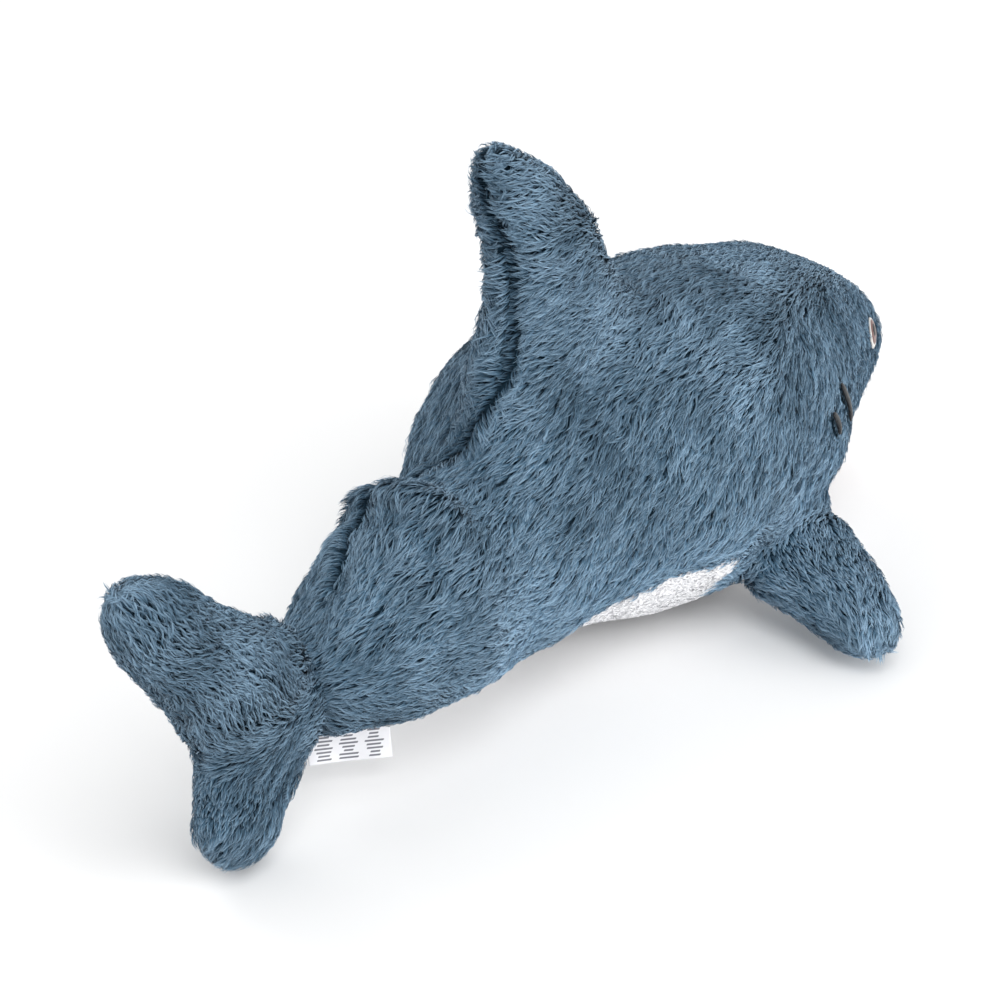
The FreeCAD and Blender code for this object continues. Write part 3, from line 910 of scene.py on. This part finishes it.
def label_material():
    """White satin ribbon with plain grey bars where the washing advice stands."""
    m, tree, shader = material("label_satin", srgb(236, 236, 240), 0.38, 0.4, 0.3)
    place = tree.nodes.new("ShaderNodeAttribute")
    place.attribute_name = "print"
    ramp = ramp_node(tree, [(0.45, srgb(238, 238, 242)), (0.55, srgb(112, 114, 122))])
    tree.links.new(place.outputs["Fac"], ramp.inputs["Fac"])
    tree.links.new(ramp.outputs["Color"], shader.inputs["Base Color"])
    coords = tree.nodes.new("ShaderNodeTexCoord")
    wave = tree.nodes.new("ShaderNodeTexWave")
    wave.inputs["Scale"].default_value = 2 * math.pi / (20 * 0.35 * MM)
    tree.links.new(coords.outputs["Object"], wave.inputs["Vector"])
    rise = tree.nodes.new("ShaderNodeBump")
    rise.inputs["Strength"].default_value = 0.25
    rise.inputs["Distance"].default_value = 0.0001
    tree.links.new(wave.outputs["Fac"], rise.inputs["Height"])
    tree.links.new(rise.outputs["Normal"], shader.inputs["Normal"])
    return m


def surface_hits(tree, starts, direction):
    """Points and outward normals where straight lines meet the backing."""
    points, normals = [], []
    for start in starts:
        hit, normal, _, _ = tree.ray_cast(Vector(start), Vector(direction))
        points.append(np.array(hit if hit is not None else start))
        normals.append(np.array(normal if normal is not None else -np.array(direction)))
    return np.array(points), unit(np.array(normals))


def shell(name, top, bottom, rows, columns, wrap):
    """Closed thin shell between two grids of points."""
    verts = np.concatenate([top, bottom])
    base = rows * columns
    faces = []
    last = columns if wrap else columns - 1
    for i in range(rows - 1):
        for j in range(last):
            a, b = i * columns + j, i * columns + (j + 1) % columns
            c, d = b + columns, a + columns
            faces += [(a, b, c, d), (base + d, base + c, base + b, base + a)]
    rim = [[i * columns + j for j in range(columns)] for i in (0, rows - 1)]
    if not wrap:
        rim[0] = rim[0] + [i * columns + columns - 1 for i in range(1, rows)]
        rim[0] = rim[0] + [(rows - 1) * columns + j for j in range(columns - 2, -1, -1)]
        rim = [rim[0] + [i * columns for i in range(rows - 2, 0, -1)]]
    for number, loop in enumerate(rim):
        for k in range(len(loop)):
            a, b = loop[k], loop[(k + 1) % len(loop)]
            faces.append((b, a, base + a, base + b) if number == 0 else (a, b, base + b, base + a))
    mesh = mesh_from(name, verts * MM, faces)
    mesh.polygons.foreach_set("use_smooth", np.ones(len(mesh.polygons), bool))
    return mesh


def dress(name, mesh, looks, node, body="torso"):
    mesh.materials.append(looks)
    obj = link(name, mesh)
    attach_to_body(obj, body)
    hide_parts(node)
    return obj


def add_eyes(tree):
    threads = [
        ("eye_white", "eye_white_thread", srgb(232, 230, 226), srgb(196, 194, 190), 0.45, 0.0),
        ("eye_iris", "eye_brown_thread", srgb(128, 90, 84), srgb(84, 56, 52), 0.40, 0.8),
        ("eye_pupil", "eye_black_thread", srgb(24, 24, 27), srgb(8, 8, 10), 0.40, 1.6),
    ]
    materials = [thread_material(*row[1:]) for row in threads]
    rows, columns = 10, 56
    share = np.linspace(0.04, 1, rows)
    t = np.linspace(0, 2 * np.pi, columns, endpoint=False)
    for side, label in ((-1, "right"), (1, "left")):
        under = EYE_STAND
        for (name, slot, *_), looks, radius in zip(threads, materials, EYE_RADII):
            shift = (1 - radius / EYE_RADII[0]) * EYE_LOOK
            x = EYE[0] - shift + radius * np.outer(share, np.cos(t)).ravel()
            z = EYE[1] + 1.6 * shift + radius * np.outer(share, np.sin(t)).ravel()
            starts = np.stack([x, 0 * x + side * 200, z], 1)
            points, normals = surface_hits(tree, starts, (0, -side, 0))
            normals = unit(normals.mean(0))[None]
            dome = EYE_LAYER * np.sqrt(np.maximum(1 - np.repeat(share, columns) ** 4, 0)) + 0.15
            top = points + normals * (under + dome)[:, None]
            bottom = points + normals * (under - 0.5)
            mesh = shell(name + "_" + label, top, bottom, rows, columns, True)
            if side > 0:
                mesh.flip_normals()
            dress("stitched_" + name + "_" + label, mesh, looks, name + "_" + label)
            under += EYE_LAYER * 0.75


def add_gills(tree):
    looks = thread_material("gill_thread", srgb(26, 28, 32), srgb(8, 9, 11), 0.5, 0.5)
    rows, columns = 26, 12
    for side, label in ((-1, "right"), (1, "left")):
        lines = []
        for start, end in GILLS:
            share = np.linspace(0, 1, rows)
            bow = 1.6 * np.sin(np.pi * share)
            x = start[0] + (end[0] - start[0]) * share + bow
            z = start[1] + (end[1] - start[1]) * share
            points, normals = surface_hits(tree, np.stack([x, 0 * x + side * 200, z], 1), (0, -side, 0))
            points = points + normals * GILL_STAND
            along = unit(np.gradient(points, axis=0))
            across = unit(np.cross(along, normals))
            close = np.sqrt(np.maximum(1 - (2 * share - 1) ** 6, 0.02))
            rings = ovals(points, across[0], normals[0], close * GILL_WIDTH / 2, close * 1.1, columns)
            lines.append(tube(rings))
        verts, faces = joined(lines)
        mesh = mesh_from("gills_" + label, verts * MM, faces)
        mesh.polygons.foreach_set("use_smooth", np.ones(len(mesh.polygons), bool))
        dress("stitched_gills_" + label, mesh, looks, "gill_stitches_" + label)


def add_mouth(tree):
    lining = felt_material("mouth_felt", srgb(150, 92, 100), srgb(116, 66, 76))
    felt = felt_material("tooth_felt", srgb(236, 235, 230), srgb(208, 206, 200))
    rows, columns = 7, 49
    t = np.linspace(0.02, np.pi - 0.02, columns)
    parts = []
    layers = ((MOUTH_BACK, MOUTH_FRONT, 1.3, 0), (MOUTH_FRONT - TOOTH_LONG, MOUTH_FRONT, 2.2, TEETH))
    for rear, front, stand, teeth in layers:
        share = np.linspace(0, 1, rows)[:, None]
        zigzag = 0.5 - 0.5 * np.abs(((t / np.pi * teeth) % 1) * 2 - 1) if teeth else 0 * t
        reach = front - (front - rear) * (share * (1 - 1.3 * zigzag[None, :] * (teeth > 0)))
        x = (MOUTH_X + reach * np.sin(t)[None, :]).ravel()
        y = (MOUTH_HALF * reach / front * np.cos(t)[None, :]).ravel()
        starts = np.stack([x, y, 0 * x - 50], 1)
        points, normals = surface_hits(tree, starts, (0, 0, 1))
        top = points + normals * (stand + 0.9)
        bottom = points + normals * stand
        parts.append(shell("mouth_layer", top, bottom, rows, columns, False))
    dress("felt_mouth", parts[0], lining, "mouth_lining")
    dress("felt_teeth", parts[1], felt, "teeth_strip")


def add_label():
    rows, columns = 22, 54
    along = unit(LABEL_ALONG)
    thick = unit(np.cross(along, LABEL_HANG))
    out = np.cross(thick, along)
    s, t = np.meshgrid(np.linspace(-0.5, 0.5, columns), np.linspace(0, 1, rows))
    s, t = s.ravel(), t.ravel()
    curl = (1.3 * t**2 * np.cos(2.2 * s * np.pi + 0.6) + 0.5 * t * np.sin(5 * s + 1))[:, None]
    points = LABEL_SEAM + along * (s * LABEL_LONG)[:, None] + out * (t * LABEL_OUT)[:, None] + thick * curl
    points = turn_about(points, np.array([WAIST_X, 0, 0]), Z_DIR, STOCK_YAW)
    mesh = shell("label", points + thick * 0.15, points - thick * 0.15, rows, columns, False)
    bars = np.zeros(len(points))
    rng_bars = np.random.default_rng(5)
    for row in range(3, rows - 2, 2):
        for middle in (-0.3, 0.0, 0.3):
            reach = rng_bars.uniform(0.05, 0.12)
            bars[row * columns:(row + 1) * columns] += np.abs(s[:columns] - middle) < reach
    layer = mesh.attributes.new("print", "FLOAT", "POINT")
    layer.data.foreach_set("value", np.tile(bars, 2).astype(np.float32))
    leaf = dress("ribbon_label", mesh, label_material(), "care_label", "label")


def add_toy():
    v, quads = backing()
    n = normals_of(v, quads)
    panel = panel_of(v[quads].mean(1))
    # Blue pile: dark roots are painted shade and light tips painted light; the tint's upper end of 1.66
    # paints light on the low flanks.
    blue = pile_material("blue_pile", srgb(20, 44, 60), srgb(66, 97, 118), srgb(146, 172, 191),
                         (0.32, 0.42, 0.48), (1.66, 1.64, 1.66))
    white = pile_material("white_pile", srgb(238, 238, 243), srgb(248, 248, 250), srgb(252, 252, 253),
                          (0.96, 0.96, 0.97), (1.0, 1.0, 1.0))
    # Dark blue backing: painted shade in the gaps between the locks.
    blue_cloth_painted_shade = backing_material("blue_backing_painted_shade", srgb(22, 44, 58), srgb(12, 28, 38))
    white_cloth = backing_material("white_backing", srgb(236, 236, 241), srgb(226, 227, 233))
    for number, name in enumerate(NAMES):
        faces = np.flatnonzero(panel == number)
        used, inverse = np.unique(quads[faces], return_inverse=True)
        mesh = mesh_from("panel_" + name, v[used] * MM, inverse.reshape(-1, 4))
        mesh.polygons.foreach_set("use_smooth", np.ones(len(mesh.polygons), bool))
        mesh.materials.append(white_cloth if name == "belly" else blue_cloth_painted_shade)
        skin = link("panel_" + name, mesh)
        attach(skin, name)
        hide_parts(*PANELS[name])
        style, looks = (WHITE_STYLE, white) if name == "belly" else (BLUE_STYLE, blue)
        add_pile(name, v, n, quads, faces, style, looks, 1000 + number * 50)
    return v, quads


add_camera()
add_stage()
surface, surface_quads = add_toy()
surface_tree = BVHTree.FromPolygons(surface.tolist(), surface_quads.tolist())
add_eyes(surface_tree)
add_gills(surface_tree)
add_mouth(surface_tree)
add_label()
